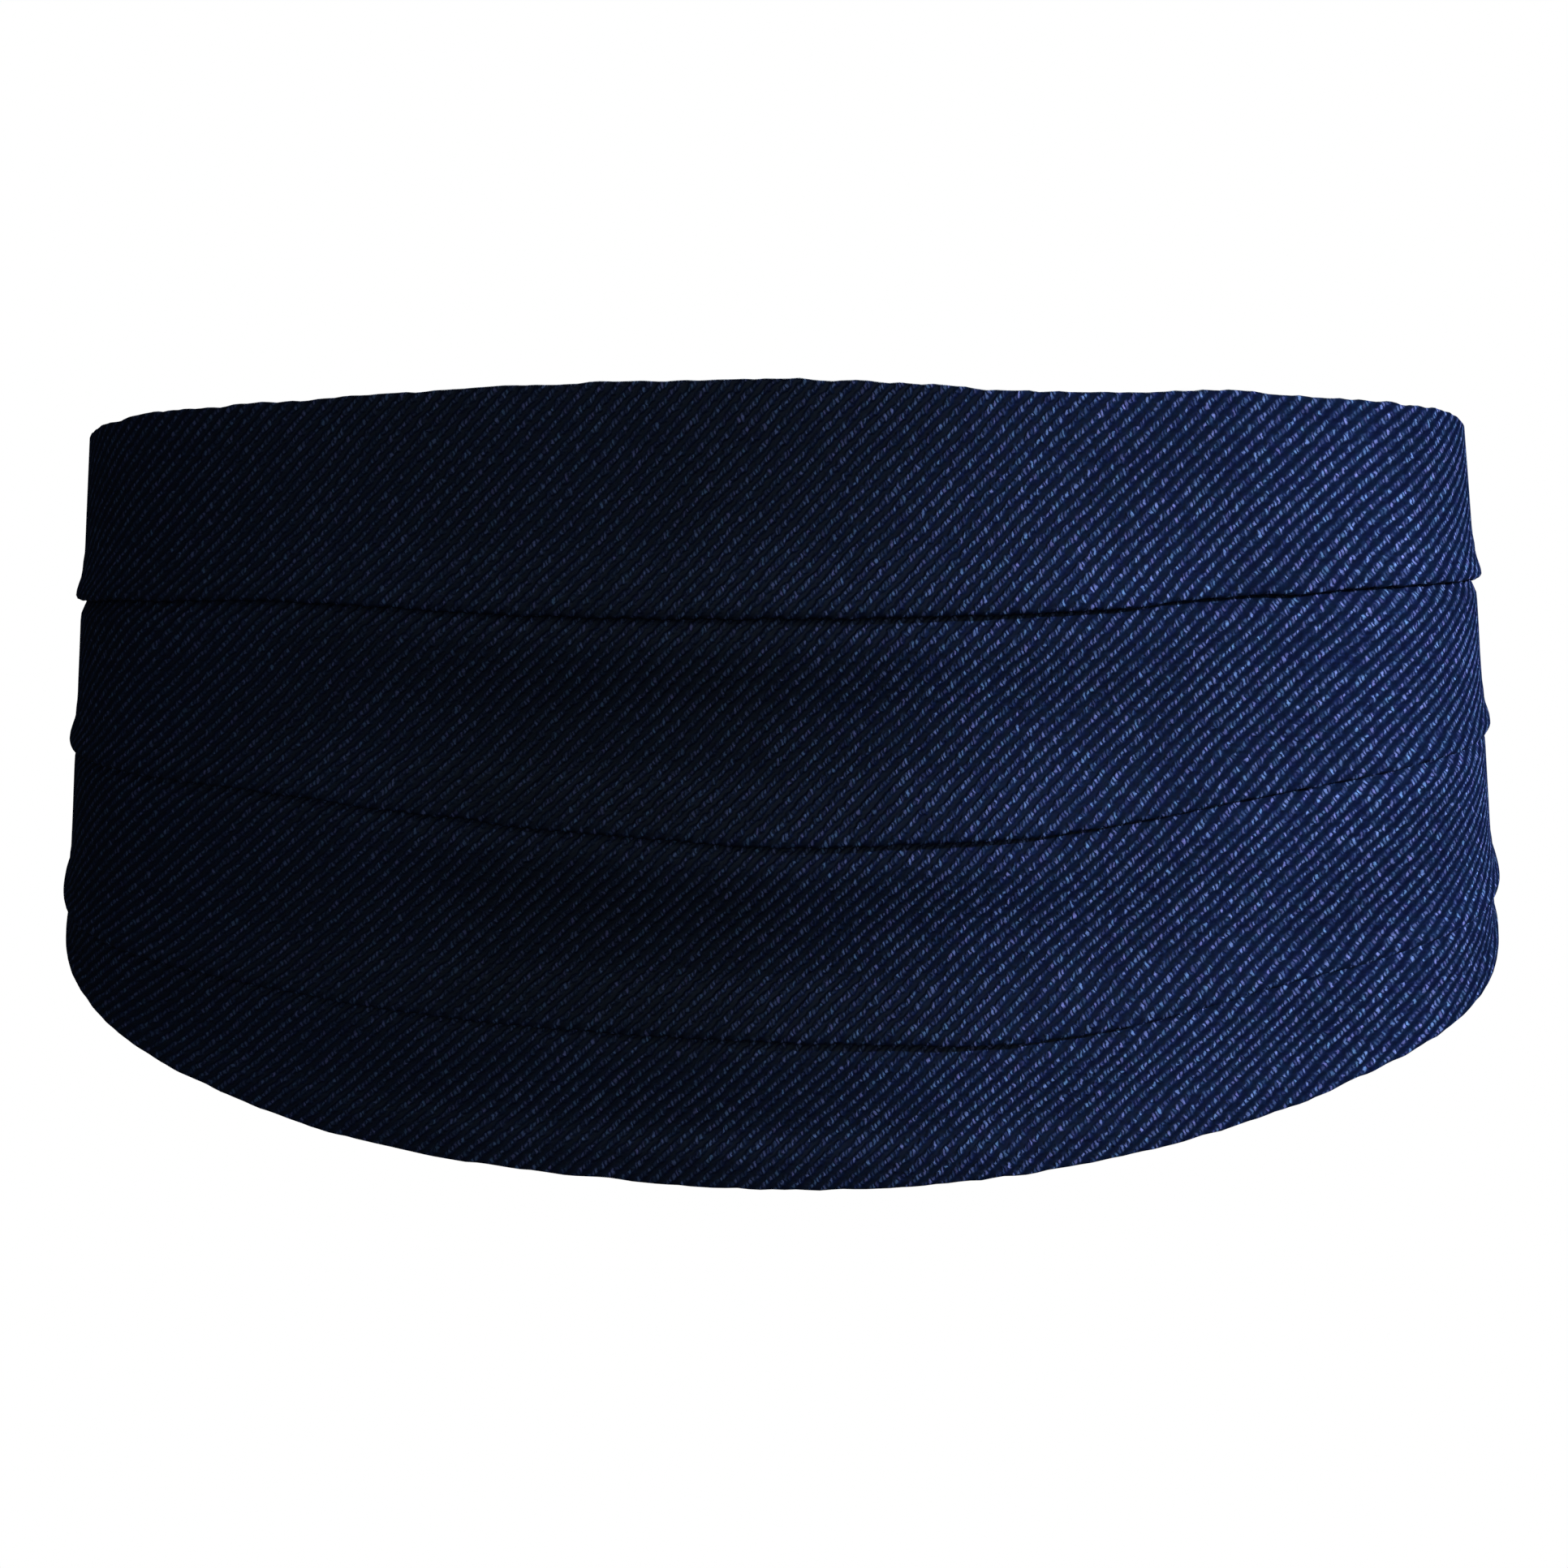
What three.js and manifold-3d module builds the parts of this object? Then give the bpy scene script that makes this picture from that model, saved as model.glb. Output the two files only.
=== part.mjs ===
// A cummerbund in the form it has when worn: a pleated cloth front that goes round the waist,
// a strap at each end of it, and a plain clasp that joins the straps at the middle of the back.
// Millimetres, +Z up. The front faces -Y, and the origin is the middle of the waist opening at
// half the height of the front.
import * as THREE from 'three';
import { mergeVertices } from 'three/addons/utils/BufferGeometryUtils.js';
import Module from 'manifold-3d';

const wasm = await Module();
wasm.setup();

// Waist opening at half height, and how much wider the loop gets for each millimetre down
const waistHalfWidth = 140.5;
const waistHalfDepth = 109.5;
const sideFlare = 0.14;
const frontFlare = 0.05;

// Pleated front
const frontLength = 570;
const frontHeight = 125;
const clothThickness = 1;
const layerGap = 0.35;
const underlapMiddle = 13;
const underlapEnd = 5;

// Straps
const strapWidth = 30;
const strapThickness = 1.5;
const strapSewnLength = 24;
const strapTailLength = 32;

// Clasp
const claspHeight = 38;
const claspThickness = 1.6;
const claspCorner = 4;
const claspMiddleWidth = 26;
const claspSlotWidth = 3.4;
const claspBarWidth = 5;

// Clearance between pieces, and the length of one step in a curved wall
const pieceGap = 0.3;
const stepLength = 10;
const claspStep = 4;

// Where the columns of edgeRows lie, as shares of half the length of the front
const stations = {
  leftEnd: -1, left: -0.6, leftFront: -0.3, middle: 0, bend: 0.13, rightFront: 0.3, right: 0.6,
  rightEnd: 1,
};

// Height of each edge and fold above the middle of the front, as shares of its height
const edgeRows = [
  { edge: 'top', leftEnd: 0.18, left: 0.41, leftFront: 0.475, middle: 0.5, bend: 0.485,
    rightFront: 0.475, right: 0.41, rightEnd: 0.18 },
  { edge: 'upperFold', leftEnd: 0.085, left: 0.17, leftFront: 0.225, middle: 0.22, bend: 0.22,
    rightFront: 0.225, right: 0.185, rightEnd: 0.085 },
  { edge: 'middleFold', leftEnd: -0.01, left: -0.05, leftFront: -0.025, middle: -0.055, bend: -0.055,
    rightFront: -0.03, right: -0.04, rightEnd: -0.01 },
  { edge: 'lowerFold', leftEnd: -0.105, left: -0.29, leftFront: -0.285, middle: -0.305, bend: -0.32,
    rightFront: -0.29, right: -0.285, rightEnd: -0.105 },
  { edge: 'bottom', leftEnd: -0.18, left: -0.365, leftFront: -0.46, middle: -0.5, bend: -0.495,
    rightFront: -0.46, right: -0.39, rightEnd: -0.18 },
];

// Where the columns of bandRows lie, as shares of the way down a band's open face
const facePlaces = { emerge: 0, crest: 0.18, hollow: 0.5, rise: 0.8, foot: 1 };

// How far each band stands out there, as shares of the lean that two layers under it give
const bandRows = [
  { band: 'top', emerge: 0.55, crest: 0.4, hollow: 0.25, rise: 0.6, foot: 1 },
  { band: 'upper', emerge: 0, crest: 0.36, hollow: 0.3, rise: 0.6, foot: 1 },
  { band: 'lower', emerge: 0, crest: 0.36, hollow: 0.3, rise: 0.6, foot: 1 },
  { band: 'bottom', emerge: 0, crest: 0.3, hollow: 0.35, rise: 0.45, foot: 0.5 },
];

const waistline = new THREE.EllipseCurve(
  0, 0, waistHalfWidth, waistHalfDepth, -Math.PI / 2, Math.PI * 3 / 2);
waistline.arcLengthDivisions = 1440;
const waistLength = waistline.getLength();

// A place on the loop: along it from the middle of the front, out from its inner face, and up
function onLoop(along, out, up) {
  const turn = THREE.MathUtils.euclideanModulo(along / waistLength, 1);
  const angle = waistline.getUtoTmapping(turn) * Math.PI * 2 - Math.PI / 2;
  const outward = new THREE.Vector2(
    Math.cos(angle) / waistHalfWidth, Math.sin(angle) / waistHalfDepth).normalize();
  return new THREE.Vector3(
    (waistHalfWidth - sideFlare * up) * Math.cos(angle) + out * outward.x,
    (waistHalfDepth - frontFlare * up) * Math.sin(angle) + out * outward.y,
    up,
  );
}

// A smooth value along a row of edgeRows, at a share of half the front's length
function rowValue(row, share) {
  const columns = Object.keys(stations);
  const places = columns.map((column) => stations[column]);
  const values = columns.map((column) => row[column]);
  const last = places.length - 1;
  const slope = (i, j) => (values[j] - values[i]) / (places[j] - places[i]);
  const tangent = (i) => slope(Math.max(i - 1, 0), Math.min(i + 1, last));
  let i = 0;
  while (i < last - 1 && share > places[i + 1]) i += 1;
  const span = places[i + 1] - places[i];
  const t = (share - places[i]) / span;
  return (2 * t ** 3 - 3 * t ** 2 + 1) * values[i] + (t ** 3 - 2 * t ** 2 + t) * span * tangent(i)
    + (3 * t ** 2 - 2 * t ** 3) * values[i + 1] + (t ** 3 - t ** 2) * span * tangent(i + 1);
}

// The closed outline of a strip that follows a line, with square ends and mitred corners, in
// counterclockwise order
function stripOutline(line, thickness) {
  const half = thickness / 2;
  const direction = (i) => line[i + 1].clone().sub(line[i]).normalize();
  const sides = line.map((point, i) => {
    const before = direction(Math.max(i - 1, 0));
    const after = direction(Math.min(i, line.length - 2));
    const mitre = new THREE.Vector2(-before.y - after.y, before.x + after.x).normalize();
    const reach = half / mitre.dot(new THREE.Vector2(-after.y, after.x));
    return [point.clone().addScaledVector(mitre, reach), point.clone().addScaledVector(mitre, -reach)];
  });
  const outline = [...sides.map((pair) => pair[0]), ...sides.map((pair) => pair[1]).reverse()];
  return THREE.ShapeUtils.isClockWise(outline) ? outline.reverse() : outline;
}

// A closed solid through rings of points that match one to one, with flat ends. Each ring runs
// counterclockwise as seen from the start.
function loft(rings, startOutline, endOutline) {
  const count = rings[0].length;
  const indices = [];
  for (let ring = 0; ring < rings.length - 1; ring += 1) {
    for (let i = 0; i < count; i += 1) {
      const a = ring * count + i;
      const b = ring * count + (i + 1) % count;
      indices.push(a, b + count, b, a, a + count, b + count);
    }
  }
  const end = (rings.length - 1) * count;
  const startFaces = THREE.ShapeUtils.triangulateShape(startOutline, []);
  const endFaces = THREE.ShapeUtils.triangulateShape(endOutline, []);
  startFaces.forEach(([a, b, c]) => indices.push(a, b, c));
  endFaces.forEach(([a, b, c]) => indices.push(end + a, end + c, end + b));
  const geometry = new THREE.BufferGeometry();
  geometry.setAttribute('position', new THREE.Float32BufferAttribute(
    rings.flat().flatMap((point) => point.toArray()), 3));
  geometry.setIndex(indices);
  geometry.computeVertexNormals();
  return geometry;
}

// Even steps from one place to another, both included
function steps(from, to, step) {
  const count = Math.ceil(Math.abs(to - from) / step);
  return Array.from({ length: count + 1 }, (_, i) => from + (to - from) * i / count);
}

// The line that the cloth takes in a cut across the front: down each band to its fold, up behind
// it as far as the underlap, and down again as the next band
function pleatLine(along) {
  const share = along / (frontLength / 2);
  const heights = edgeRows.map((row) => frontHeight * rowValue(row, share));
  const underlap = underlapMiddle + (underlapEnd - underlapMiddle) * share ** 2;
  const inner = clothThickness / 2;
  const pitch = clothThickness + layerGap;
  const lean = 2 * pitch;
  const line = [];
  bandRows.forEach((row, i) => {
    const isLast = i === bandRows.length - 1;
    const top = heights[i];
    const foot = isLast ? heights[i + 1] : heights[i + 1] + underlap;
    const face = top - foot;
    Object.entries(facePlaces).forEach(([column, place]) => {
      line.push(new THREE.Vector2(inner + lean * row[column], top - face * place));
    });
    if (isLast) return;
    const foldTip = heights[i + 1] + clothThickness / 2;
    const underlapTop = heights[i + 1] + underlap - clothThickness / 2;
    line.push(
      new THREE.Vector2(inner + lean, foldTip),
      new THREE.Vector2(inner + pitch, foldTip),
      new THREE.Vector2(inner + pitch, underlapTop),
      new THREE.Vector2(inner, underlapTop),
    );
  });
  return line;
}

function pleatedFront() {
  const places = steps(-frontLength / 2, frontLength / 2, stepLength);
  const outlines = places.map((along) => stripOutline(pleatLine(along), clothThickness));
  const rings = outlines.map((outline, i) => outline.map((p) => onLoop(places[i], p.x, p.y)));
  return loft(rings, outlines[0], outlines.at(-1));
}

// Places on the clasp, along the loop from its middle
const claspSlotStart = claspMiddleWidth / 2;
const claspSlotEnd = claspSlotStart + claspSlotWidth;
const claspEnd = claspSlotEnd + claspBarWidth;

// A strap runs from inside the end of the front to the clasp, goes out through its slot and
// lies back over the bar and over itself
function strap(side) {
  const half = strapThickness / 2;
  const back = waistLength / 2;
  const innerRun = -pieceGap - half;
  const overBar = claspThickness + pieceGap + half;
  const overStrap = half;
  const throughSlot = claspSlotEnd - pieceGap - half;
  const stepDown = claspEnd + strapThickness + overBar;
  const start = back - (frontLength / 2 - strapSewnLength);
  const line = [
    ...steps(start, throughSlot, stepLength).map((place) => [place, innerRun]),
    [throughSlot, overBar],
    [claspEnd + half, overBar],
    [stepDown, overStrap],
    ...steps(stepDown, stepDown + strapTailLength, stepLength).slice(1)
      .map((place) => [place, overStrap]),
  ].map(([place, out]) => new THREE.Vector2(side * (back - place), out));
  const outline = stripOutline(line, strapThickness);
  const rings = [-strapWidth / 2, strapWidth / 2].map(
    (up) => outline.map((p) => onLoop(p.x, p.y, up)));
  const [lowerEdge, upperEdge] = rings.map(
    (ring) => ring.map((p) => new THREE.Vector2(p.x, -p.y)));
  return loft(rings, lowerEdge, upperEdge);
}

function toSolid(geometry) {
  const bare = geometry.clone();
  bare.deleteAttribute('normal');
  bare.deleteAttribute('uv');
  const merged = mergeVertices(bare);
  return new wasm.Manifold(new wasm.Mesh({
    numProp: 3,
    vertProperties: new Float32Array(merged.attributes.position.array),
    triVerts: new Uint32Array(merged.index.array),
  }));
}

function fromSolid(solid) {
  const mesh = solid.getMesh();
  const geometry = new THREE.BufferGeometry();
  geometry.setAttribute('position', new THREE.BufferAttribute(mesh.vertProperties, 3));
  geometry.setIndex(new THREE.BufferAttribute(mesh.triVerts, 1));
  geometry.computeVertexNormals();
  return geometry;
}

// One curved plate with a slot near each end
function clasp() {
  const back = waistLength / 2;
  const places = steps(-claspEnd, claspEnd, claspStep);
  const half = claspHeight / 2;
  const outlines = places.map((place) => {
    const fromCorner = Math.max(0, Math.abs(place) - (claspEnd - claspCorner));
    const cut = claspCorner - Math.sqrt(Math.max(0, claspCorner ** 2 - fromCorner ** 2));
    const top = half - cut;
    return [[0, -top], [claspThickness, -top], [claspThickness, top], [0, top]]
      .map(([out, up]) => new THREE.Vector2(out, up));
  });
  const rings = outlines.map((outline, i) => outline.map((p) => onLoop(back + places[i], p.x, p.y)));
  let plate = toSolid(loft(rings, outlines[0], outlines.at(-1)));
  const slotHeight = strapWidth + 2 * pieceGap;
  const cutDepth = 4 * claspThickness;
  for (const side of [-1, 1]) {
    const slot = new THREE.BoxGeometry(claspSlotWidth, cutDepth, slotHeight);
    const place = side * (claspSlotStart + claspSlotWidth / 2);
    const centre = onLoop(back + place, claspThickness / 2, 0);
    const ahead = onLoop(back + place + 1, claspThickness / 2, 0).sub(centre);
    slot.rotateZ(Math.atan2(ahead.y, ahead.x));
    slot.translate(centre.x, centre.y, centre.z);
    plate = plate.subtract(toSolid(slot));
  }
  return fromSolid(plate);
}

function named(name, geometry, material) {
  const mesh = new THREE.Mesh(geometry, material);
  mesh.name = name;
  return mesh;
}

const twill = new THREE.MeshStandardMaterial({ color: 0x141d38, roughness: 0.7, metalness: 0 });
const webbing = new THREE.MeshStandardMaterial({ color: 0x10172b, roughness: 0.85, metalness: 0 });
const metal = new THREE.MeshStandardMaterial({ color: 0x2b2d31, roughness: 0.35, metalness: 1 });

const cummerbund = new THREE.Group();
cummerbund.add(
  named('pleated_front', pleatedFront(), twill),
  named('strap_left', strap(-1), webbing),
  named('strap_right', strap(1), webbing),
  named('back_clasp', clasp(), metal),
);

export default cummerbund;
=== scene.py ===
import bisect
import math
import bpy
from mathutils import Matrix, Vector, noise


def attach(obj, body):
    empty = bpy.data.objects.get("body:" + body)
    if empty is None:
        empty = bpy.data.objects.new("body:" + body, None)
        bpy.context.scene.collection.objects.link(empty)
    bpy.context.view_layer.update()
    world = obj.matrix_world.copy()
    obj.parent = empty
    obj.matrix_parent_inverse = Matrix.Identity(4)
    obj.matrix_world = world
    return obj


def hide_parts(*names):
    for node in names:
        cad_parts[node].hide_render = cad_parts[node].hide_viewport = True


# A pleated navy cummerbund in its worn form. All lengths are metres.
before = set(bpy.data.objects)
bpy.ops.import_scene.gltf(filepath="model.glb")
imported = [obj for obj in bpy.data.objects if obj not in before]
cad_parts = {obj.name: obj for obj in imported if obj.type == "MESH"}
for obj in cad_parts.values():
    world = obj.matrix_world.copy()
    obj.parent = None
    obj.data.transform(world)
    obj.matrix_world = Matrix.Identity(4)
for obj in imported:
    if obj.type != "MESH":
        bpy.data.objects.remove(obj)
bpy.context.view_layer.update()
print("frame loaded:", sorted(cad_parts))


# helpers

def smooth(start, end, x):
    t = min(max((x - start) / (end - start), 0), 1)
    return t * t * (3 - 2 * t)


def mix(a, b, t):
    return a + (b - a) * t


def spread(a, b, count):
    return [mix(a, b, i / (count - 1)) for i in range(count)]


def arc(centre, radius, startAngle, endAngle, count):  # points of an arc, its two ends left out
    angles = spread(math.radians(startAngle), math.radians(endAngle), count + 2)[1:-1]
    return [(centre[0] + radius * math.cos(a), centre[1] + radius * math.sin(a)) for a in angles]


def deselectAll():
    bpy.ops.object.select_all(action="DESELECT")


def applyModifiers(piece):
    deselectAll()
    piece.select_set(True)
    bpy.context.view_layer.objects.active = piece
    for modifier in list(piece.modifiers):
        bpy.ops.object.modifier_apply(modifier=modifier.name)


# the waist that the loop goes round

waist = {
    "halfWidth": 0.1405,
    "halfDepth": 0.1095,
    "sideFlare": 0.14,      # widening for each metre down, at the sides
    "frontFlare": 0.05,     # and at the front and back
    "tableSteps": 1440,
}


def loopTable():  # length along the loop at even steps of the angle round it
    step = 2 * math.pi / waist["tableSteps"]
    lengths = [0]
    for i in range(waist["tableSteps"]):
        angle = (i + 0.5) * step
        lengths.append(lengths[-1] + step * math.hypot(
            waist["halfWidth"] * math.cos(angle), waist["halfDepth"] * math.sin(angle)))
    return lengths


loopLengths = loopTable()
loopLength = loopLengths[-1]


def loopAngle(along):  # 0 at the middle of the front, growing towards +X
    place = along % loopLength
    i = min(bisect.bisect_right(loopLengths, place), waist["tableSteps"])
    part = (place - loopLengths[i - 1]) / (loopLengths[i] - loopLengths[i - 1])
    return (i - 1 + part) * 2 * math.pi / waist["tableSteps"]


def onLoop(along, out, up):  # along the loop, out from its inner face, and up
    angle = loopAngle(along)
    outward = Vector((
        math.sin(angle) / waist["halfWidth"], -math.cos(angle) / waist["halfDepth"])).normalized()
    return Vector((
        (waist["halfWidth"] - waist["sideFlare"] * up) * math.sin(angle) + out * outward.x,
        -(waist["halfDepth"] - waist["frontFlare"] * up) * math.cos(angle) + out * outward.y,
        up))


# materials

def newMaterial(name, roughness, metallic=0.0, specular=0.5):
    material = bpy.data.materials.new(name)
    material.use_nodes = True
    shader = material.node_tree.nodes["Principled BSDF"]
    shader.inputs["Roughness"].default_value = roughness
    shader.inputs["Metallic"].default_value = metallic
    shader.inputs["Specular IOR Level"].default_value = specular
    return material, shader


class NodeMaker:  # short ways to add and link the nodes of one material
    def __init__(self, tree):
        self.tree = tree

    def link(self, source, socket):
        if isinstance(source, (int, float)):
            socket.default_value = source
        else:
            self.tree.links.new(source, socket)

    def math(self, operation, a, b=0.0, c=0.0):
        node = self.tree.nodes.new("ShaderNodeMath")
        node.operation = operation
        for value, socket in zip((a, b, c), node.inputs):
            self.link(value, socket)
        return node.outputs[0]

    def ramp(self, source, start, end, low=0.0, high=1.0):  # a smooth step between two values
        node = self.tree.nodes.new("ShaderNodeMapRange")
        node.interpolation_type = "SMOOTHSTEP"
        self.link(source, node.inputs["Value"])
        for name, value in (("From Min", start), ("From Max", end), ("To Min", low), ("To Max", high)):
            self.link(value, node.inputs[name])
        return node.outputs["Result"]

    def uvParts(self, uvName):
        uv = self.tree.nodes.new("ShaderNodeUVMap")
        uv.uv_map = uvName
        parts = self.tree.nodes.new("ShaderNodeSeparateXYZ")
        self.tree.links.new(uv.outputs["UV"], parts.inputs[0])
        return parts.outputs["X"], parts.outputs["Y"]

    def place(self, x, y, z=0.0):
        node = self.tree.nodes.new("ShaderNodeCombineXYZ")
        for value, socket in zip((x, y, z), node.inputs):
            self.link(value, socket)
        return node.outputs[0]

    def random(self, x, y):  # one random number for each whole x and y
        node = self.tree.nodes.new("ShaderNodeTexWhiteNoise")
        node.noise_dimensions = "3D"
        self.tree.links.new(self.place(x, y), node.inputs["Vector"])
        return node.outputs["Value"]

    def noise(self, vector, scale, detail=2.0):
        node = self.tree.nodes.new("ShaderNodeTexNoise")
        node.inputs["Scale"].default_value = scale
        node.inputs["Detail"].default_value = detail
        self.tree.links.new(vector, node.inputs["Vector"])
        return node.outputs["Fac"]

    def waver(self, vector, scale, reach, detail=2.0):  # noise that goes half its reach each way
        return self.math("MULTIPLY_ADD", self.noise(vector, scale, detail), reach, -reach / 2)

    def blend(self, amount, first, second):  # colours, or links to colours
        node = self.tree.nodes.new("ShaderNodeMix")
        node.data_type = "RGBA"
        self.link(amount, node.inputs[0])
        for value, socket in ((first, node.inputs[6]), (second, node.inputs[7])):
            if isinstance(value, tuple):
                socket.default_value = (*value, 1)
            else:
                self.tree.links.new(value, socket)
        return node.outputs[2]

    def bump(self, height, distance, strength=1.0):
        node = self.tree.nodes.new("ShaderNodeBump")
        node.inputs["Strength"].default_value = strength
        node.inputs["Distance"].default_value = distance
        self.tree.links.new(height, node.inputs["Height"])
        return node.outputs["Normal"]


twill = {
    "ribSpacing": 0.00172,
    "floatSpacing": 0.00068,    # the short yarns that cross a rib, along it
    "floatSlant": 0.47,
    "drift": (60, 0.0011),      # noise scale and reach of a rib's way, in metres
    "fray": (900, 0.5, 1.0),    # of its sides, in ribs, and the noise's detail
    "crook": (1300, 1.1, 1.0),  # of a float, in floats
    "patchScale": 38,           # noise scales of the colour
    "hueScale": 400,
    "speckleScale": 1500,
    "ribHeight": 0.00034,
    # the groove colour is painted shade that the ribs cast between them
    "grooveShade": (0.0026, 0.0058, 0.0210),
    "rib": (0.0064, 0.0142, 0.0520),
    # colours of the floats: painted sheen of the yarns that cross each rib, in two tints
    "coolFloatSheen": (0.125, 0.228, 0.42),
    "warmFloatSheen": (0.178, 0.184, 0.42),
    "shine": (0.78, 0.92, 1.0),
}


def makeTwill():
    material, shader = newMaterial("navyTwill", roughness=0.62, specular=0.42)
    shader.inputs["Specular Tint"].default_value = (*twill["shine"], 1)
    nodes = NodeMaker(material.node_tree)
    u, v = nodes.uvParts("cloth")
    cloth = nodes.place(u, v)
    drift = nodes.waver(cloth, *twill["drift"])
    half = math.sqrt(0.5)
    across = nodes.math("MULTIPLY_ADD", nodes.math("SUBTRACT", v, u), half, drift)
    length = nodes.math("MULTIPLY", nodes.math("ADD", u, v), half)
    fray = nodes.waver(cloth, *twill["fray"])
    ribPlace = nodes.math("ADD", nodes.math("DIVIDE", across, twill["ribSpacing"]), fray)
    rib = nodes.math("FLOOR", ribPlace)
    inRib = nodes.math("ABSOLUTE", nodes.math("SUBTRACT", nodes.math("FRACT", ribPlace), 0.5))
    crest = nodes.ramp(inRib, 0.42, 0.10)
    stagger = nodes.random(rib, 7.0)
    slanted = nodes.math("MULTIPLY_ADD", across, -twill["floatSlant"], length)
    floatPlace = nodes.math("ADD", nodes.math("DIVIDE", slanted, twill["floatSpacing"]), stagger)
    wobble = nodes.noise(nodes.place(rib, floatPlace), 0.45, 1.0)
    crook = nodes.waver(cloth, *twill["crook"])
    floatPlace = nodes.math("ADD", nodes.math("MULTIPLY_ADD", wobble, 0.8, floatPlace), crook)
    index = nodes.math("FLOOR", floatPlace)
    inFloat = nodes.math("ABSOLUTE", nodes.math("SUBTRACT", nodes.math("FRACT", floatPlace), 0.5))
    luck = nodes.random(rib, index)
    reach = nodes.math("MULTIPLY_ADD", nodes.random(index, rib), 0.18, 0.18)
    onCrest = nodes.ramp(inRib, reach, 0.06)
    onFloat = nodes.math("MULTIPLY", nodes.ramp(inFloat, 0.40, 0.16), onCrest)
    # This map holds painted light and shade: the bands are lighter and darker in the middle of the
    # front, and the floats' sheen is dimmed on the left
    nap, floatsPaintedShade = nodes.uvParts("nap")
    chance = nodes.math("MULTIPLY_ADD", nodes.math("POWER", luck, 1.5), 0.9, 0.1)
    # where the floats' painted sheen shows, at random strength, and dimmed on the left
    floatSheenMask = nodes.math("MULTIPLY", nodes.math("MULTIPLY", onFloat, chance), floatsPaintedShade)
    speckle = nodes.ramp(nodes.noise(cloth, twill["speckleScale"]), 0.35, 0.75, 0.75, 1.3)
    # rib crests, with painted shade in the grooves between them
    groundWithGrooveShade = nodes.blend(crest, twill["grooveShade"], twill["rib"])
    warmth = nodes.random(index, nodes.math("ADD", rib, 31.0))
    # painted sheen colour of each float, one of two tints at random
    yarn = nodes.blend(warmth, twill["coolFloatSheen"], twill["warmFloatSheen"])
    patches = nodes.ramp(nodes.noise(cloth, twill["patchScale"], 3.0), 0.3, 0.7, 0.84, 1.1)
    tint = nodes.tree.nodes.new("ShaderNodeHueSaturation")
    # random tone, times the painted light and shade of the bands
    toneAndPaintedShade = nodes.math("MULTIPLY", nap, nodes.math("MULTIPLY", patches, speckle))
    nodes.link(toneAndPaintedShade, tint.inputs["Value"])
    hue = nodes.ramp(nodes.noise(cloth, twill["hueScale"], 1.0), 0.3, 0.7, 0.492, 0.508)
    nodes.link(hue, tint.inputs["Hue"])
    nodes.link(nodes.blend(floatSheenMask, groundWithGrooveShade, yarn), tint.inputs["Color"])
    nodes.link(tint.outputs["Color"], shader.inputs["Base Color"])
    height = nodes.math("ADD", nodes.math("MULTIPLY", crest, 0.7), nodes.math("MULTIPLY", onFloat, 0.3))
    nodes.link(nodes.bump(height, twill["ribHeight"]), shader.inputs["Normal"])
    return material


# pleated front

front = {
    "length": 0.570,
    "height": 0.125,
    "thickness": 0.00044,
    "pitch": 0.00051,           # from one pressed layer of a fold to the next
    "innerLayer": 0.0013,       # middle of the innermost layer, out from the loop
    "innerAtEnds": 0.0004,
    "innerFrom": 0.75,          # shares of half its length, where the one passes to the other
    "innerTo": 0.98,
    "underlap": 0.0055,         # how far a fold runs up behind its band
    "underlapAtEnds": 0.0045,
    "hem": 0.008,
    "deepTo": 0.1,              # shares of half its length, where the middle's hollows pass over
    "sidesFrom": 0.38,
    "fullBand": 0.026,          # a band lower than this has the next four distances scaled down
    "crestAt": 0.0036,          # distances below a fold
    "hollowAt": 0.0165,
    "riseFrom": 0.0085,         # distances above the next fold
    "riseTo": 0.005,
    "foldBulge": 0.0009,        # how much its layers part towards the fold
    "bulgeAbove": 0.0045,
    "leftFloatSheen": 0.55,         # share of the floats' painted sheen kept on the left: painted shade there
    "leftTo": -0.09,            # places along the loop, where that painted shade passes to the whole sheen
    "wholeFrom": 0.02,
    "columns": 330,
    "bandRows": 20,
    "foldRows": 3,
    "hemRows": 4,
    "underlapRows": 3,
}

# The weave gets wider and moves up towards the sides, so that its ribs look even from the front
weave = {
    "widening": 26,
    "power": 1.8,
    "widest": 0.54,
    "liftLeft": 0.95,
    "liftRight": 0.5,
    "liftTo": 0.1,
    "backFrom": 0.145,
    "backTo": 0.21,
    "behind": 0.1,
}

# Height of each edge and fold above the middle of the front, as shares of its height
stations = (-1, -0.6, -0.3, 0, 0.13, 0.3, 0.6, 1)   # shares of half the front's length
foldHeights = {
    "top": (0.18, 0.41, 0.475, 0.5, 0.485, 0.475, 0.41, 0.18),
    "upperFold": (0.085, 0.17, 0.225, 0.22, 0.22, 0.225, 0.185, 0.085),
    "middleFold": (-0.01, -0.05, -0.025, -0.055, -0.055, -0.03, -0.04, -0.01),
    "lowerFold": (-0.105, -0.29, -0.285, -0.305, -0.32, -0.29, -0.285, -0.105),
    "bottom": (-0.18, -0.365, -0.46, -0.5, -0.495, -0.46, -0.39, -0.18),
}

# How far each band stands out, as shares of the lean that the layers under its foot give.
# It falls back further in the middle of the front than at its sides.
bandLean = {
    "top": {"emerge": 0.6, "crest": 0.6, "hollow": 0.7, "deep": 0.1, "foot": 1},
    "upper": {"emerge": -0.15, "crest": 0.85, "hollow": 0.8, "deep": -0.65, "foot": 1},
    "lower": {"emerge": -0.15, "crest": 0.8, "hollow": 0.75, "deep": -0.6, "foot": 1},
    "bottom": {"emerge": -0.15, "crest": 0.5, "hollow": 0.6, "deep": 0.1, "foot": 1.1},
}

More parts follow.
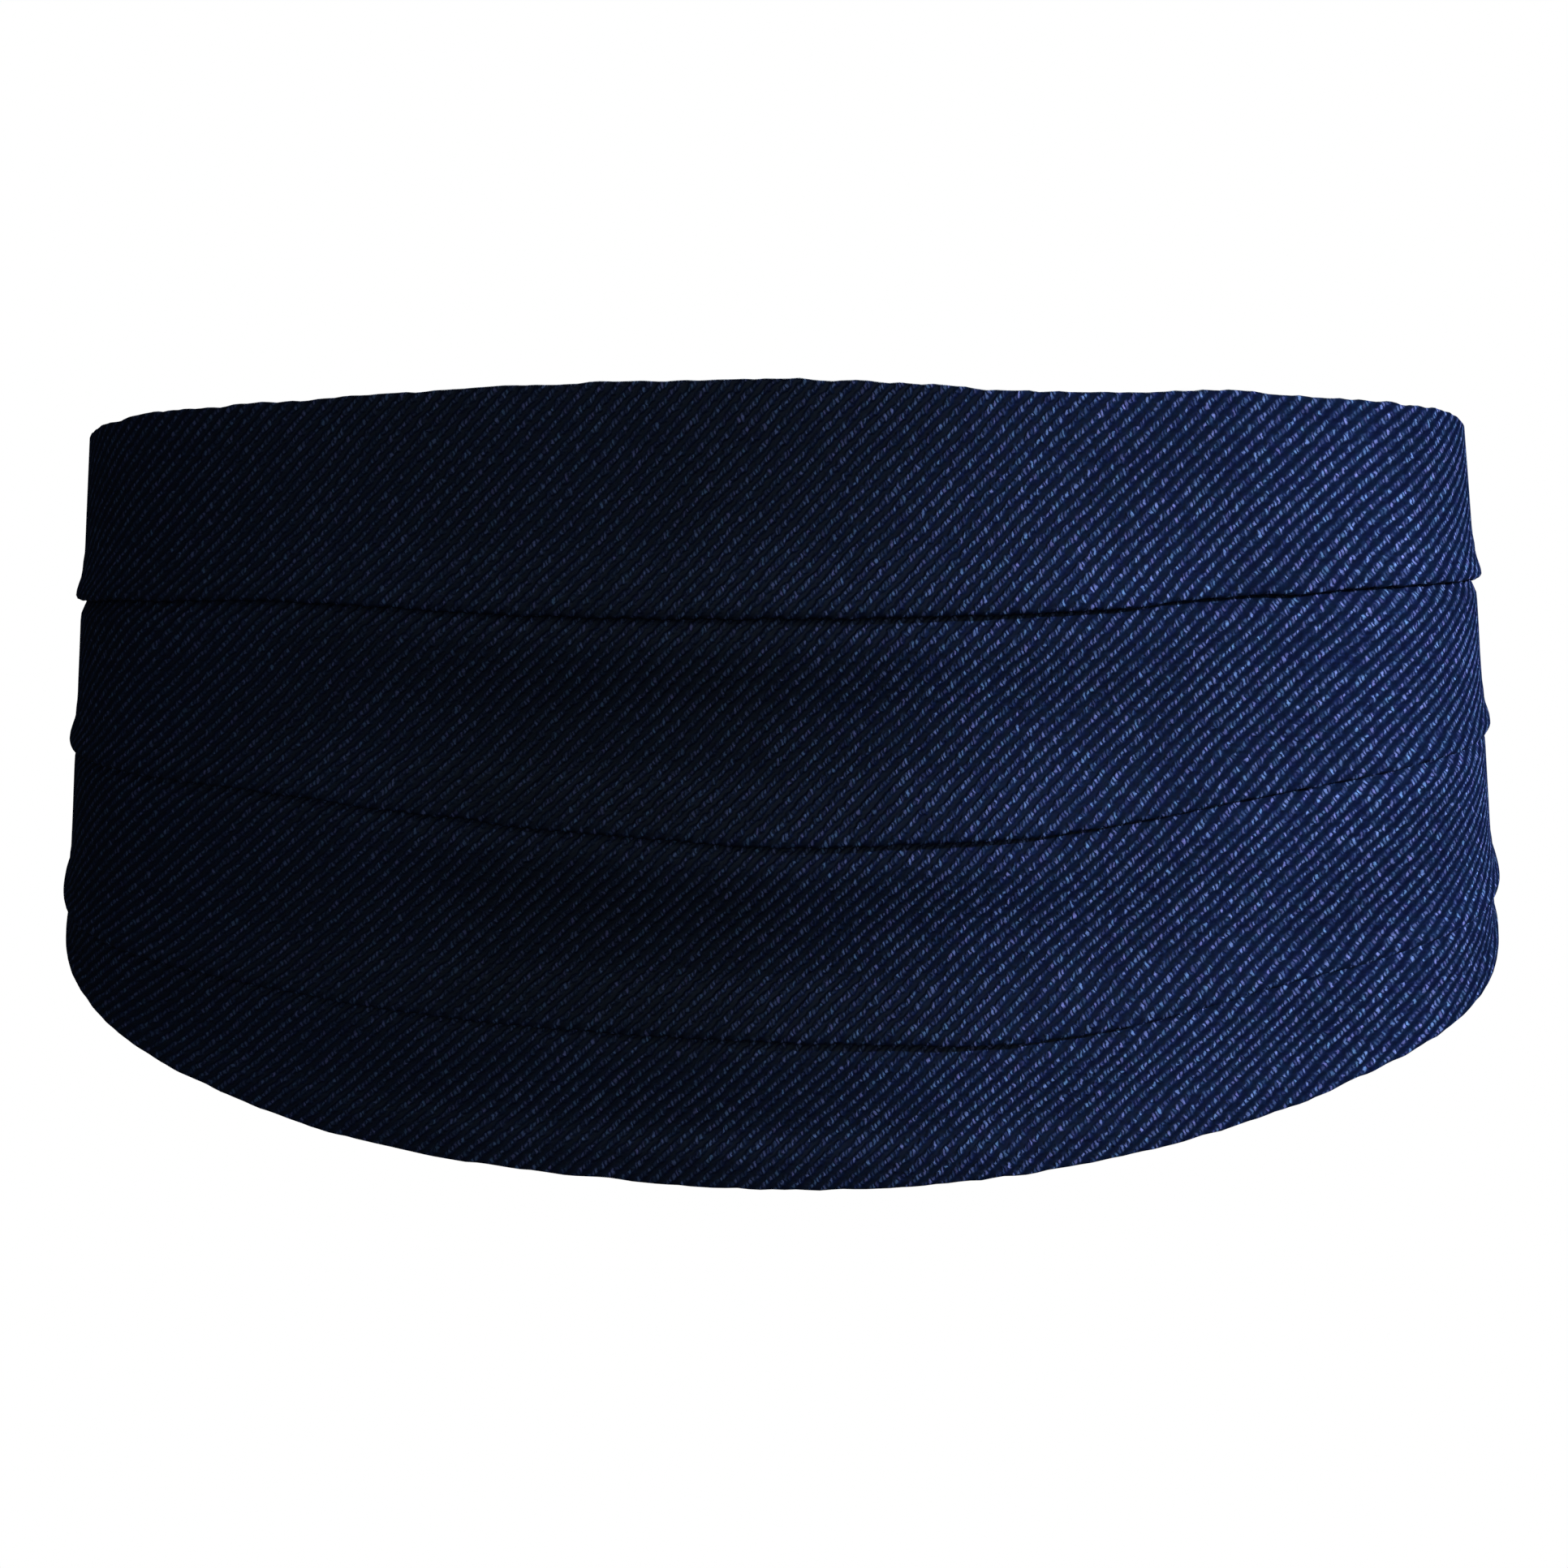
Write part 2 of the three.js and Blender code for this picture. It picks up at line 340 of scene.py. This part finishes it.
# Painted light and shade of each band in the middle of the front, against the cloth at its folds: the
# top and bottom bands painted lighter, the two middle bands painted darker
bandPaintedShade = {
    "light": (1.08, 0.72, 0.74, 1.2),
    "centre": -0.015,       # place along the loop
    "fullWithin": 0.08,     # shares of half the front's length
    "goneFrom": 0.2,
    "setIn": 0.35,          # shares of a band's rows
    "fadeFrom": 0.85,
}


def rowValue(values, share):  # a smooth value between the stations
    last = len(stations) - 1
    i = min(max(bisect.bisect_right(stations, share) - 1, 0), last - 1)

    def tangent(k):
        a, b = max(k - 1, 0), min(k + 1, last)
        return (values[b] - values[a]) / (stations[b] - stations[a])

    span = stations[i + 1] - stations[i]
    t = (share - stations[i]) / span
    return ((2 * t**3 - 3 * t**2 + 1) * values[i] + (t**3 - 2 * t**2 + t) * span * tangent(i)
            + (3 * t**2 - 2 * t**3) * values[i + 1] + (t**3 - t**2) * span * tangent(i + 1))


def edgeHeights(along):
    share = along / (front["length"] / 2)
    heights = [front["height"] * rowValue(row, share) for row in foldHeights.values()]
    for i, height in enumerate(heights):
        slow = noise.noise(Vector((along * 24, i * 7.3, 2.5)))
        quick = noise.noise(Vector((along * 70, i * 5.1, 9.5)))
        quickest = noise.noise(Vector((along * 290, i * 3.7, 1.5)))
        heights[i] = height + 0.0004 * slow + 0.00025 * quick + 0.0003 * quickest
    return heights


def clothRipple(along, up):  # small soft unevenness of the worn cloth
    slow = noise.noise(Vector((along * 28, up * 36, 4.1)))
    quick = noise.noise(Vector((along * 75, up * 110, 8.7)))
    return 0.00022 * slow + 0.00007 * quick


def bandPoints(lean, share, top, foot, base, fullLean, isLast):
    face = top - foot
    hollow = mix(lean["deep"], lean["hollow"], smooth(front["deepTo"], front["sidesFrom"], share))
    scale = min(1, face / front["fullBand"])
    crestAt, hollowAt = front["crestAt"] * scale, front["hollowAt"] * scale
    riseFrom, riseTo = front["riseFrom"] * scale, front["riseTo"] * scale
    points = []
    for t in spread(0, 1, front["bandRows"]):
        down = face * mix(t, 0.5 - 0.5 * math.cos(math.pi * t), 0.5)
        above = face - down
        value = mix(lean["emerge"], lean["crest"], smooth(0, crestAt, down))
        value = mix(value, hollow, smooth(crestAt, hollowAt, down))
        value = mix(value, lean["foot"], 1 - smooth(riseTo, riseFrom, above))
        out = base + fullLean * value
        if not isLast:
            out += bulgeOut(above)
        points.append((out, top - down))
    return points


def bulgeOut(above):  # how far the parting layers push the open face out
    return front["foldBulge"] * (1 - smooth(0, front["bulgeAbove"], above))


def clothLine(along):  # the way the cloth takes down the front, as places out and up
    share = abs(along) / (front["length"] / 2)
    heights = edgeHeights(along)
    pitch, half = front["pitch"], front["thickness"] / 2
    toEnd = smooth(front["innerFrom"], front["innerTo"], share)
    base = mix(front["innerLayer"], front["innerAtEnds"], toEnd)
    underlap = mix(front["underlap"], front["underlapAtEnds"], share**2)
    tipRadius = (pitch + front["foldBulge"] / 2) / 2
    line = []
    for i, lean in enumerate(bandLean.values()):
        isLast = i == len(bandLean) - 1
        top = heights[i] - (half + pitch / 2 if i == 0 else 0)
        foot = heights[i + 1] + half + (pitch / 2 if isLast else tipRadius)
        band = bandPoints(lean, share, top, foot, base, 2 * pitch, isLast)
        if i == 0:
            line += hemPoints(band, pitch)
            line += arc((band[0][0] - pitch / 2, band[0][1]), pitch / 2, 180, 0, front["foldRows"])
        line += band
        if isLast:
            line += arc((band[-1][0] - pitch / 2, band[-1][1]), pitch / 2, 0, -180, front["foldRows"])
            line += hemPoints(band[::-1], pitch)[::-1]
            continue
        line += arc((band[-1][0] - tipRadius, foot), tipRadius, 0, -180, front["foldRows"])
        turn = heights[i + 1] + underlap - half - pitch / 2
        for up in spread(foot, turn, front["underlapRows"]):
            line.append((base + pitch + bulgeOut(up - foot) / 2, up))
        turnOut = base + (pitch + bulgeOut(turn - foot) / 2) / 2
        line += arc((turnOut, turn), turnOut - base, 0, 180, front["foldRows"])
        below = spread(turn, heights[i + 1], front["underlapRows"] + 1)[:-1]
        line += [(base, up) for up in below]
    return [(out + clothRipple(along, up), up) for out, up in line]


def hemPoints(band, pitch):  # the turned edge behind a band, from its raw edge to the turn
    rows = [point for point in band if abs(point[1] - band[0][1]) <= front["hem"]]
    count = front["hemRows"]
    kept = rows[:: max(1, len(rows) // count)][:count]
    while len(kept) < count:
        kept.append(kept[-1])
    return [(out - pitch, up) for out, up in reversed(kept)]


def patternPlace(along):  # where the weave is along the cloth, and how much it is moved up
    steps = 60
    step = abs(along) / steps
    place = lift = 0
    rate = weave["liftLeft"] if along < 0 else weave["liftRight"]
    for i in range(steps):
        middle = (i + 0.5) * step
        behind = smooth(weave["backFrom"], weave["backTo"], middle)
        widening = min(weave["widening"] * middle**weave["power"], weave["widest"])
        place += step * (1 - mix(widening, weave["behind"], behind))
        lift += step * 2 * rate * min(middle, weave["liftTo"]) * (1 - behind)
    return math.copysign(place, along), lift


def paintedShadeAt(row, along):  # the painted light and shade of the bands at one row of the cloth line
    share = abs(along - bandPaintedShade["centre"]) / (front["length"] / 2)
    hemRows = front["hemRows"] + front["foldRows"]
    repeat = front["bandRows"] + 2 * front["foldRows"] + 2 * front["underlapRows"]
    band, place = divmod(row - hemRows, repeat)
    t = place / (front["bandRows"] - 1)
    if not 0 <= band < len(bandPaintedShade["light"]) or t > 1:
        return 1
    isLast = band == len(bandPaintedShade["light"]) - 1
    setIn = 1 if band == 0 else smooth(0, bandPaintedShade["setIn"], t)
    fade = 1 if isLast else 1 - smooth(bandPaintedShade["fadeFrom"], 1, t)
    inMiddle = smooth(bandPaintedShade["goneFrom"], bandPaintedShade["fullWithin"], share)
    return mix(1, bandPaintedShade["light"][band], setIn * fade * inMiddle)


def lengthAtMiddle(line, lengths):  # cloth length from its raw edge to height 0 on the open face
    for i in range(len(line) - 1):
        upper, lower = line[i][1], line[i + 1][1]
        if lengths[i] > front["hem"] and upper >= 0 > lower:
            return mix(lengths[i], lengths[i + 1], upper / (upper - lower))


def makeFront(material):
    columns = front["columns"]
    places = spread(-front["length"] / 2, front["length"] / 2, columns + 1)
    lines = [clothLine(along) for along in places]
    rows = len(lines[0]) - 1
    bpy.ops.mesh.primitive_grid_add(x_subdivisions=columns, y_subdivisions=rows, size=1)
    piece = bpy.context.active_object
    piece.name = "pleatedFront"
    mesh = piece.data
    mesh.uv_layers[0].name = "cloth"
    paintedShadeLayer = mesh.uv_layers.new(name="nap")  # painted light and shade of the bands, and how far painted shade dims the floats' painted sheen on the left
    uvLayer = mesh.uv_layers["cloth"]
    clothLengths = []
    for line in lines:
        lengths = [0]
        for a, b in zip(line, line[1:]):
            lengths.append(lengths[-1] + math.dist(a, b))
        clothLengths.append(lengths)
    pattern = [patternPlace(along) for along in places]
    middle = [lengthAtMiddle(line, lengths) for line, lengths in zip(lines, clothLengths)]
    cells = []
    for vertex in mesh.vertices:
        column = round((vertex.co.x + 0.5) * columns)
        row = rows - round((vertex.co.y + 0.5) * rows)
        cells.append((column, row))
        vertex.co = onLoop(places[column], *lines[column][row])
    for loop in mesh.loops:
        column, row = cells[loop.vertex_index]
        place, lift = pattern[column]
        uvLayer.data[loop.index].uv = (place, middle[column] - clothLengths[column][row] + lift)
        # Painted shade: the floats' painted sheen is dimmed on the left of the front
        floatsPaintedShade = mix(front["leftFloatSheen"], 1, smooth(front["leftTo"], front["wholeFrom"], places[column]))
        paintedShadeLayer.data[loop.index].uv = (paintedShadeAt(row, places[column]), floatsPaintedShade)
    bpy.ops.object.shade_smooth()
    solid = piece.modifiers.new("thickness", "SOLIDIFY")
    solid.thickness = front["thickness"]
    solid.offset = 0
    applyModifiers(piece)
    mesh.materials.append(material)
    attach(piece, "root")
    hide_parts("pleated_front")
    return piece


def faceOut(along, up):  # how far out the open face of the front is
    line = clothLine(along)
    outs = [mix(a[0], b[0], (a[1] - up) / (a[1] - b[1]))
            for a, b in zip(line, line[1:]) if min(a[1], b[1]) <= up < max(a[1], b[1])]
    return max(outs) + front["thickness"] / 2


# straps

strap = {
    "width": 0.030,
    "thickness": 0.0013,
    "innerRun": -0.00105,       # middle of the strap, out from the loop
    "overBar": 0.00265,
    "tailRun": 0.00075,
    "turnAt": 0.01735,          # places along the loop, from the middle of the back
    "downFrom": 0.0216,
    "downTo": 0.0268,
    "tailEnd": 0.0575,
    "tailLift": 0.0003,
    "liftRun": 0.012,           # how long the lifted end of the tail is
    "ripple": 0.4,              # share of the front's ripple
    "sewnLength": 0.024,
    "step": 0.0012,
    "rows": 18,
    "edgeRound": 0.00035,
    "ribSpacing": 0.0009,
    "yarnSpacing": 0.0006,
    "selvedge": 0.0016,
    "yarn": (0.010, 0.018, 0.052),
    "yarnGroove": (0.0028, 0.0048, 0.0135),
}


def makeWebbing():
    material, shader = newMaterial("navyWebbing", roughness=0.7, specular=0.15)
    nodes = NodeMaker(material.node_tree)
    u, v = nodes.uvParts("webbing")
    place = nodes.place(u, v)
    wander = nodes.math("MULTIPLY_ADD", nodes.noise(place, 300), 0.5, -0.25)
    ribPlace = nodes.math("ADD", nodes.math("DIVIDE", u, strap["ribSpacing"]), wander)
    inRib = nodes.math("ABSOLUTE", nodes.math("SUBTRACT", nodes.math("FRACT", ribPlace), 0.5))
    rib = nodes.ramp(inRib, 0.48, 0.1)
    parity = nodes.math("MULTIPLY", nodes.math("MODULO", nodes.math("FLOOR", ribPlace), 2.0), 0.5)
    yarnPlace = nodes.math("ADD", nodes.math("DIVIDE", v, strap["yarnSpacing"]), parity)
    inYarn = nodes.math("ABSOLUTE", nodes.math("SUBTRACT", nodes.math("FRACT", yarnPlace), 0.5))
    yarn = nodes.math("MULTIPLY", nodes.ramp(inYarn, 0.5, 0.12), rib)
    edge = strap["width"] / 2
    fromEdge = nodes.math("SUBTRACT", edge, nodes.math("ABSOLUTE", v))
    selvedge = nodes.ramp(fromEdge, strap["selvedge"], strap["selvedge"] * 0.7)
    raised = nodes.math("MAXIMUM", yarn, nodes.math("MULTIPLY", selvedge, rib))
    fade = nodes.ramp(nodes.noise(place, 90, 3.0), 0.3, 0.7, 0.8, 1.1)
    colour = nodes.blend(nodes.math("MULTIPLY", raised, fade), strap["yarnGroove"], strap["yarn"])
    nodes.link(colour, shader.inputs["Base Color"])
    nodes.link(nodes.bump(raised, 0.00015), shader.inputs["Normal"])
    return material


def strapLine():  # places from the middle of the back, and out, from inside the front to the tail
    inner, outer = strap["innerRun"], strap["overBar"]
    start = loopLength / 2 - front["length"] / 2 + strap["sewnLength"]
    runSteps = round((start - strap["turnAt"]) / strap["step"])
    tailSteps = round((strap["tailEnd"] - strap["turnAt"]) / strap["step"])
    line = [(place, inner) for place in spread(start, strap["turnAt"], runSteps)]
    line += arc((strap["turnAt"], (inner + outer) / 2), (outer - inner) / 2, 270, 90, 11)
    for place in spread(strap["turnAt"], strap["tailEnd"], tailSteps):
        out = mix(outer, strap["tailRun"], smooth(strap["downFrom"], strap["downTo"], place))
        out += strap["tailLift"] * smooth(strap["tailEnd"] - strap["liftRun"], strap["tailEnd"], place)
        line.append((place, out))
    return line


def makeStrap(name, side, material):
    line = strapLine()
    columns, rows = len(line) - 1, strap["rows"]
    lengths = [0]
    for a, b in zip(line, line[1:]):
        lengths.append(lengths[-1] + math.dist(a, b))
    deselectAll()
    bpy.ops.mesh.primitive_grid_add(x_subdivisions=columns, y_subdivisions=rows, size=1)
    piece = bpy.context.active_object
    piece.name = name
    mesh = piece.data
    uvLayer = mesh.uv_layers[0]
    uvLayer.name = "webbing"
    flat = []
    for vertex in mesh.vertices:
        column = round((vertex.co.x + 0.5) * columns)
        up = vertex.co.y * strap["width"]
        flat.append((lengths[column], up))
        place, out = line[column]
        ripple = clothRipple(side * (loopLength / 2 - place), up) * strap["ripple"]
        vertex.co = onLoop(side * (loopLength / 2 - place), out + ripple, up)
    for loop in mesh.loops:
        uvLayer.data[loop.index].uv = flat[loop.vertex_index]
    bpy.ops.object.shade_smooth()
    solid = piece.modifiers.new("thickness", "SOLIDIFY")
    solid.thickness = strap["thickness"]
    solid.offset = 0
    rounding = piece.modifiers.new("edges", "BEVEL")
    rounding.width = strap["edgeRound"]
    rounding.segments = 3
    rounding.limit_method = "ANGLE"
    rounding.angle_limit = math.radians(60)
    applyModifiers(piece)
    mesh.materials.append(material)
    return piece, lengths[-1]


# clasp

clasp = {
    "height": 0.038,
    "thickness": 0.0016,
    "corner": 0.004,
    "slotStart": 0.013,         # places from the middle of the back
    "slotEnd": 0.0164,
    "end": 0.0214,
    "slotHeight": 0.0306,
    "slotRound": 0.001,
    "edgeRound": 0.0004,
    "mergeWithin": 0.00001,
    "colour": (0.10, 0.102, 0.112),
    "darker": 0.72,
    "roughness": 0.36,
}


def makeDarkMetal():
    material, shader = newMaterial("darkMetal", clasp["roughness"], metallic=1.0)
    nodes = NodeMaker(material.node_tree)
    object3d = nodes.tree.nodes.new("ShaderNodeTexCoord").outputs["Object"]
    stretch = nodes.tree.nodes.new("ShaderNodeMapping")
    stretch.inputs["Scale"].default_value = (60, 60, 2600)
    nodes.link(object3d, stretch.inputs["Vector"])
    brushed = nodes.noise(stretch.outputs[0], 1.0, 3.0)
    cloud = nodes.noise(object3d, 140, 3.0)
    darker = tuple(clasp["darker"] * value for value in clasp["colour"])
    colour = nodes.blend(nodes.ramp(cloud, 0.35, 0.65), darker, clasp["colour"])
    nodes.link(colour, shader.inputs["Base Color"])
    rough = nodes.math("MULTIPLY_ADD", brushed, 0.25, clasp["roughness"] - 0.12)
    nodes.link(rough, shader.inputs["Roughness"])
    nodes.link(nodes.bump(brushed, 0.00002), shader.inputs["Normal"])
    return material


def roundingCut(place, start, radius):  # how much a rounded corner takes away, past its start
    past = max(0, place - start)
    return radius - math.sqrt(max(0, radius**2 - past**2))


def claspColumns():  # places of the columns on one side of the middle
    cornerStart = clasp["end"] - clasp["corner"]
    turn = clasp["slotRound"]
    sines = [math.sin(angle) for angle in spread(0, math.pi / 2, 6)]
    columns = spread(0, clasp["slotStart"], 6)
    columns += [clasp["slotStart"] + turn * (1 - sine) for sine in sines[-2::-1]]
    columns += [clasp["slotEnd"] - turn + turn * sine for sine in sines]
    return columns + [cornerStart + clasp["corner"] * sine for sine in sines]


def makeClasp(material):
    half, slotHalf = clasp["height"] / 2, clasp["slotHeight"] / 2
    oneSide = claspColumns()
    places = [-place for place in oneSide[:0:-1]] + oneSide
    ups = [-half, -slotHalf] + spread(-slotHalf, slotHalf, 9)[1:-1] + [slotHalf, half]
    columns, rows = len(places) - 1, len(ups) - 1
    deselectAll()
    bpy.ops.mesh.primitive_grid_add(x_subdivisions=columns, y_subdivisions=rows, size=1)
    piece = bpy.context.active_object
    piece.name = "backClasp"
    mesh = piece.data
    for vertex in mesh.vertices:
        place = places[round((vertex.co.x + 0.5) * columns)]
        row = round((vertex.co.y + 0.5) * rows)
        up = ups[row]
        if row in (1, rows - 1) and clasp["slotStart"] <= abs(place) <= clasp["slotEnd"]:
            fromMiddle = abs(abs(place) - (clasp["slotStart"] + clasp["slotEnd"]) / 2)
            flat = (clasp["slotEnd"] - clasp["slotStart"]) / 2 - clasp["slotRound"]
            up -= math.copysign(roundingCut(fromMiddle, flat, clasp["slotRound"]), up)
        up *= 1 - roundingCut(abs(place), clasp["end"] - clasp["corner"], clasp["corner"]) / half
        vertex.co = (place, up, 0)
    bpy.ops.object.mode_set(mode="EDIT")
    bpy.ops.mesh.select_mode(type="FACE")
    bpy.ops.mesh.select_all(action="DESELECT")
    bpy.ops.object.mode_set(mode="OBJECT")
    for face in mesh.polygons:
        inSlot = clasp["slotStart"] < abs(face.center.x) < clasp["slotEnd"]
        face.select = inSlot and abs(face.center.y) < slotHalf - clasp["slotRound"]
    bpy.ops.object.mode_set(mode="EDIT")
    bpy.ops.mesh.delete(type="FACE")
    bpy.ops.object.mode_set(mode="OBJECT")
    solid = piece.modifiers.new("thickness", "SOLIDIFY")
    solid.thickness = clasp["thickness"]
    solid.offset = 1
    rounding = piece.modifiers.new("edges", "BEVEL")
    rounding.width = clasp["edgeRound"]
    rounding.segments = 3
    rounding.limit_method = "ANGLE"
    rounding.angle_limit = math.radians(50)
    applyModifiers(piece)
    bpy.ops.object.mode_set(mode="EDIT")
    bpy.ops.mesh.select_all(action="SELECT")
    bpy.ops.mesh.remove_doubles(threshold=clasp["mergeWithin"])
    bpy.ops.object.mode_set(mode="OBJECT")
    for vertex in mesh.vertices:
        vertex.co = onLoop(loopLength / 2 + vertex.co.x, vertex.co.z, vertex.co.y)
    bpy.ops.object.shade_smooth_by_angle(angle=math.radians(35))
    mesh.materials.append(material)
    return piece


# stitches

stitch = {
    "length": 0.0021,
    "width": 0.00042,
    "height": 0.00026,
    "pitch": 0.0029,
    "fromEnd": (0.004, 0.0195),     # of the two rows that hold a strap, from the end of the front
    "frontMargin": 0.0022,
    "strapMargin": 0.0018,
    "tailRow": 0.004,
    "thread": (0.018, 0.030, 0.085),
    "darker": 0.45,
}


def makeThread():
    material, shader = newMaterial("navyThread", roughness=0.55, specular=0.3)
    nodes = NodeMaker(material.node_tree)
    object3d = nodes.tree.nodes.new("ShaderNodeTexCoord").outputs["Object"]
    twist = nodes.noise(object3d, 2600, 2.0)
    darker = tuple(stitch["darker"] * value for value in stitch["thread"])
    nodes.link(nodes.blend(nodes.ramp(twist, 0.4, 0.6), darker, stitch["thread"]),
               shader.inputs["Base Color"])
    nodes.link(nodes.bump(twist, 0.00006), shader.inputs["Normal"])
    return material


def stitchRow(along, low, high, outAt):  # each stitch's place, direction and outward
    count = round((high - low) / stitch["pitch"])
    pitch = (high - low) / count
    found = []
    for i in range(count):
        up = low + (i + 0.5) * pitch
        middle = onLoop(along, outAt(along, up), up)
        ahead = onLoop(along, outAt(along, up + stitch["length"] / 3), up + stitch["length"] / 3)
        outward = (onLoop(along, 1, up) - onLoop(along, 0, up)).normalized()
        found.append((middle, (ahead - middle).normalized(), outward))
    return found


def makeStitches(name, found, material):
    deselectAll()
    bpy.ops.mesh.primitive_uv_sphere_add(segments=8, ring_count=6, radius=0.5)
    pattern = bpy.context.active_object
    copies = []
    for middle, ahead, outward in found:
        across = outward.cross(ahead).normalized()
        outward = ahead.cross(across)
        copy = pattern.copy()
        copy.data = pattern.data.copy()
        bpy.context.collection.objects.link(copy)
        for vertex in copy.data.vertices:
            local = vertex.co.copy()
            vertex.co = (middle + across * local.x * stitch["width"]
                         + outward * local.y * stitch["height"] + ahead * local.z * stitch["length"])
        copies.append(copy)
    deselectAll()
    pattern.select_set(True)
    bpy.ops.object.delete()
    for copy in copies:
        copy.select_set(True)
    bpy.context.view_layer.objects.active = copies[0]
    bpy.ops.object.join()
    piece = bpy.context.active_object
    piece.name = name
    bpy.ops.object.mode_set(mode="EDIT")
    bpy.ops.mesh.select_all(action="SELECT")
    bpy.ops.mesh.normals_make_consistent(inside=False)
    bpy.ops.object.mode_set(mode="OBJECT")
    bpy.ops.object.shade_smooth()
    piece.data.materials.append(material)
    return piece


def frontStitches():
    found = []
    outStrap = strap["innerRun"] - strap["thickness"] / 2
    strapHalf = strap["width"] / 2 - stitch["strapMargin"]
    for side in (-1, 1):
        for fromEnd in stitch["fromEnd"]:
            along = side * (front["length"] / 2 - fromEnd)
            heights = edgeHeights(along)
            low, high = heights[-1] + stitch["frontMargin"], heights[0] - stitch["frontMargin"]
            found += stitchRow(along, low, high, faceOut)
            found += stitchRow(along, -strapHalf, strapHalf, lambda a, u: outStrap)
        tail = side * (loopLength / 2 - strap["tailEnd"] + stitch["tailRow"])
        outTail = strap["tailRun"] + strap["tailLift"] * 0.75 + strap["thickness"] / 2
        found += stitchRow(tail, -strapHalf, strapHalf, lambda a, u: outTail)
    return found


navyTwill = makeTwill()
makeFront(navyTwill)

navyWebbing = makeWebbing()
for side, pieceName, node in ((-1, "strapLeft", "strap_left"), (1, "strapRight", "strap_right")):
    piece, length = makeStrap(pieceName, side, navyWebbing)
    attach(piece, "root")
    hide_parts(node)
print("straps: %.3f m of webbing each" % length)

plate = makeClasp(makeDarkMetal())
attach(plate, "root")
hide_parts("back_clasp")
print("clasp: %d faces" % len(plate.data.polygons))

seams = makeStitches("stitches", frontStitches(), makeThread())
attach(seams, "root")
print("stitches: %d faces" % len(seams.data.polygons))


# camera, floor and light

shot = {
    "place": (0, -0.380, 0.065),
    "aim": (0.0005, -0.1095, 0.0021),
    "lens": 41.7,
    "roll": -0.48,          # degrees
}


def makeCamera():
    bpy.ops.object.camera_add(location=shot["place"])
    camera = bpy.context.active_object
    camera.data.lens = shot["lens"]
    camera.data.sensor_width = 36
    camera.data.clip_start = 0.01
    towards = Vector(shot["aim"]) - Vector(shot["place"])
    camera.rotation_euler = towards.to_track_quat("-Z", "Y").to_euler()
    camera.rotation_euler.rotate_axis("Z", math.radians(shot["roll"]))
    bpy.context.scene.camera = camera


def makeFloor():
    bpy.ops.mesh.primitive_plane_add(size=12, location=(0, 0, -0.35))
    floor = bpy.context.active_object
    floor.name = "paleFloor"
    material = bpy.data.materials.new("paleFloor")
    material.use_nodes = True
    nodes = material.node_tree.nodes
    links = material.node_tree.links
    path = nodes.new("ShaderNodeLightPath")
    glow = nodes.new("ShaderNodeEmission")
    both = nodes.new("ShaderNodeMixShader")
    nodes["Principled BSDF"].inputs["Base Color"].default_value = (0.02, 0.02, 0.02, 1)
    links.new(path.outputs["Is Camera Ray"], both.inputs[0])
    links.new(nodes["Principled BSDF"].outputs[0], both.inputs[1])
    links.new(glow.outputs[0], both.inputs[2])
    links.new(both.outputs[0], nodes["Material Output"].inputs["Surface"])
    floor.data.materials.append(material)


def makeWorld(fill):
    world = bpy.data.worlds.new("paleRoom")
    bpy.context.scene.world = world
    world.use_nodes = True
    nodes = world.node_tree.nodes
    links = world.node_tree.links
    path = nodes.new("ShaderNodeLightPath")
    strength = nodes.new("ShaderNodeMapRange")
    strength.inputs["To Min"].default_value = fill
    strength.inputs["To Max"].default_value = 1
    links.new(path.outputs["Is Camera Ray"], strength.inputs["Value"])
    nodes["Background"].inputs["Color"].default_value = (1, 1, 1, 1)
    links.new(strength.outputs["Result"], nodes["Background"].inputs["Strength"])


roomFill = 0.003    # the room's light on the object; the camera sees the room at full strength
fillColour = (0.78, 0.88, 1.0)
keyColour = (0.73, 0.82, 1.0)

lamps = {
    "front": {"place": (0.3, -1.2, 0.5), "size": 1.0, "power": 2.95,
              "colour": fillColour, "glossy": True},
    "left": {"place": (-0.9, -0.7, 0.2), "size": 0.6, "power": 0.5,
              "colour": fillColour, "glossy": True},
    "right": {"place": (1.1, -0.1, 0.35), "size": 0.4, "power": 9.6,
              "colour": keyColour, "glossy": False},
    "back": {"place": (0.1, 1.2, 0.9), "size": 0.8, "power": 14,
              "colour": fillColour, "glossy": True},
}

spot = {
    "place": (1.4, -0.64, 0.58),
    "aim": (0.281, 0.366, -0.03),   # the edge of the cone falls down the middle of the front
    "angle": 40,                    # degrees, the whole cone
    "blend": 0.09,
    "radius": 0.006,
    "power": 138,
}


def makeLamps():
    for name, lamp in lamps.items():
        bpy.ops.object.light_add(type="AREA", location=lamp["place"])
        light = bpy.context.active_object
        light.name = name
        light.data.size = lamp["size"]
        light.data.energy = lamp["power"]
        light.data.color = lamp["colour"]
        light.visible_glossy = lamp["glossy"]
        light.rotation_euler = (-Vector(lamp["place"])).to_track_quat("-Z", "Y").to_euler()


def makeSpot():
    bpy.ops.object.light_add(type="SPOT", location=spot["place"])
    light = bpy.context.active_object
    light.name = "key"
    light.data.spot_size = math.radians(spot["angle"])
    light.data.spot_blend = spot["blend"]
    light.data.shadow_soft_size = spot["radius"]
    light.data.energy = spot["power"]
    light.data.color = keyColour
    light.visible_glossy = False
    towards = Vector(spot["aim"]) - Vector(spot["place"])
    light.rotation_euler = towards.to_track_quat("-Z", "Y").to_euler()


makeCamera()
makeFloor()
makeWorld(roomFill)
makeLamps()
makeSpot()
bpy.context.scene.view_settings.view_transform = "Standard"
print("camera, floor and light placed")
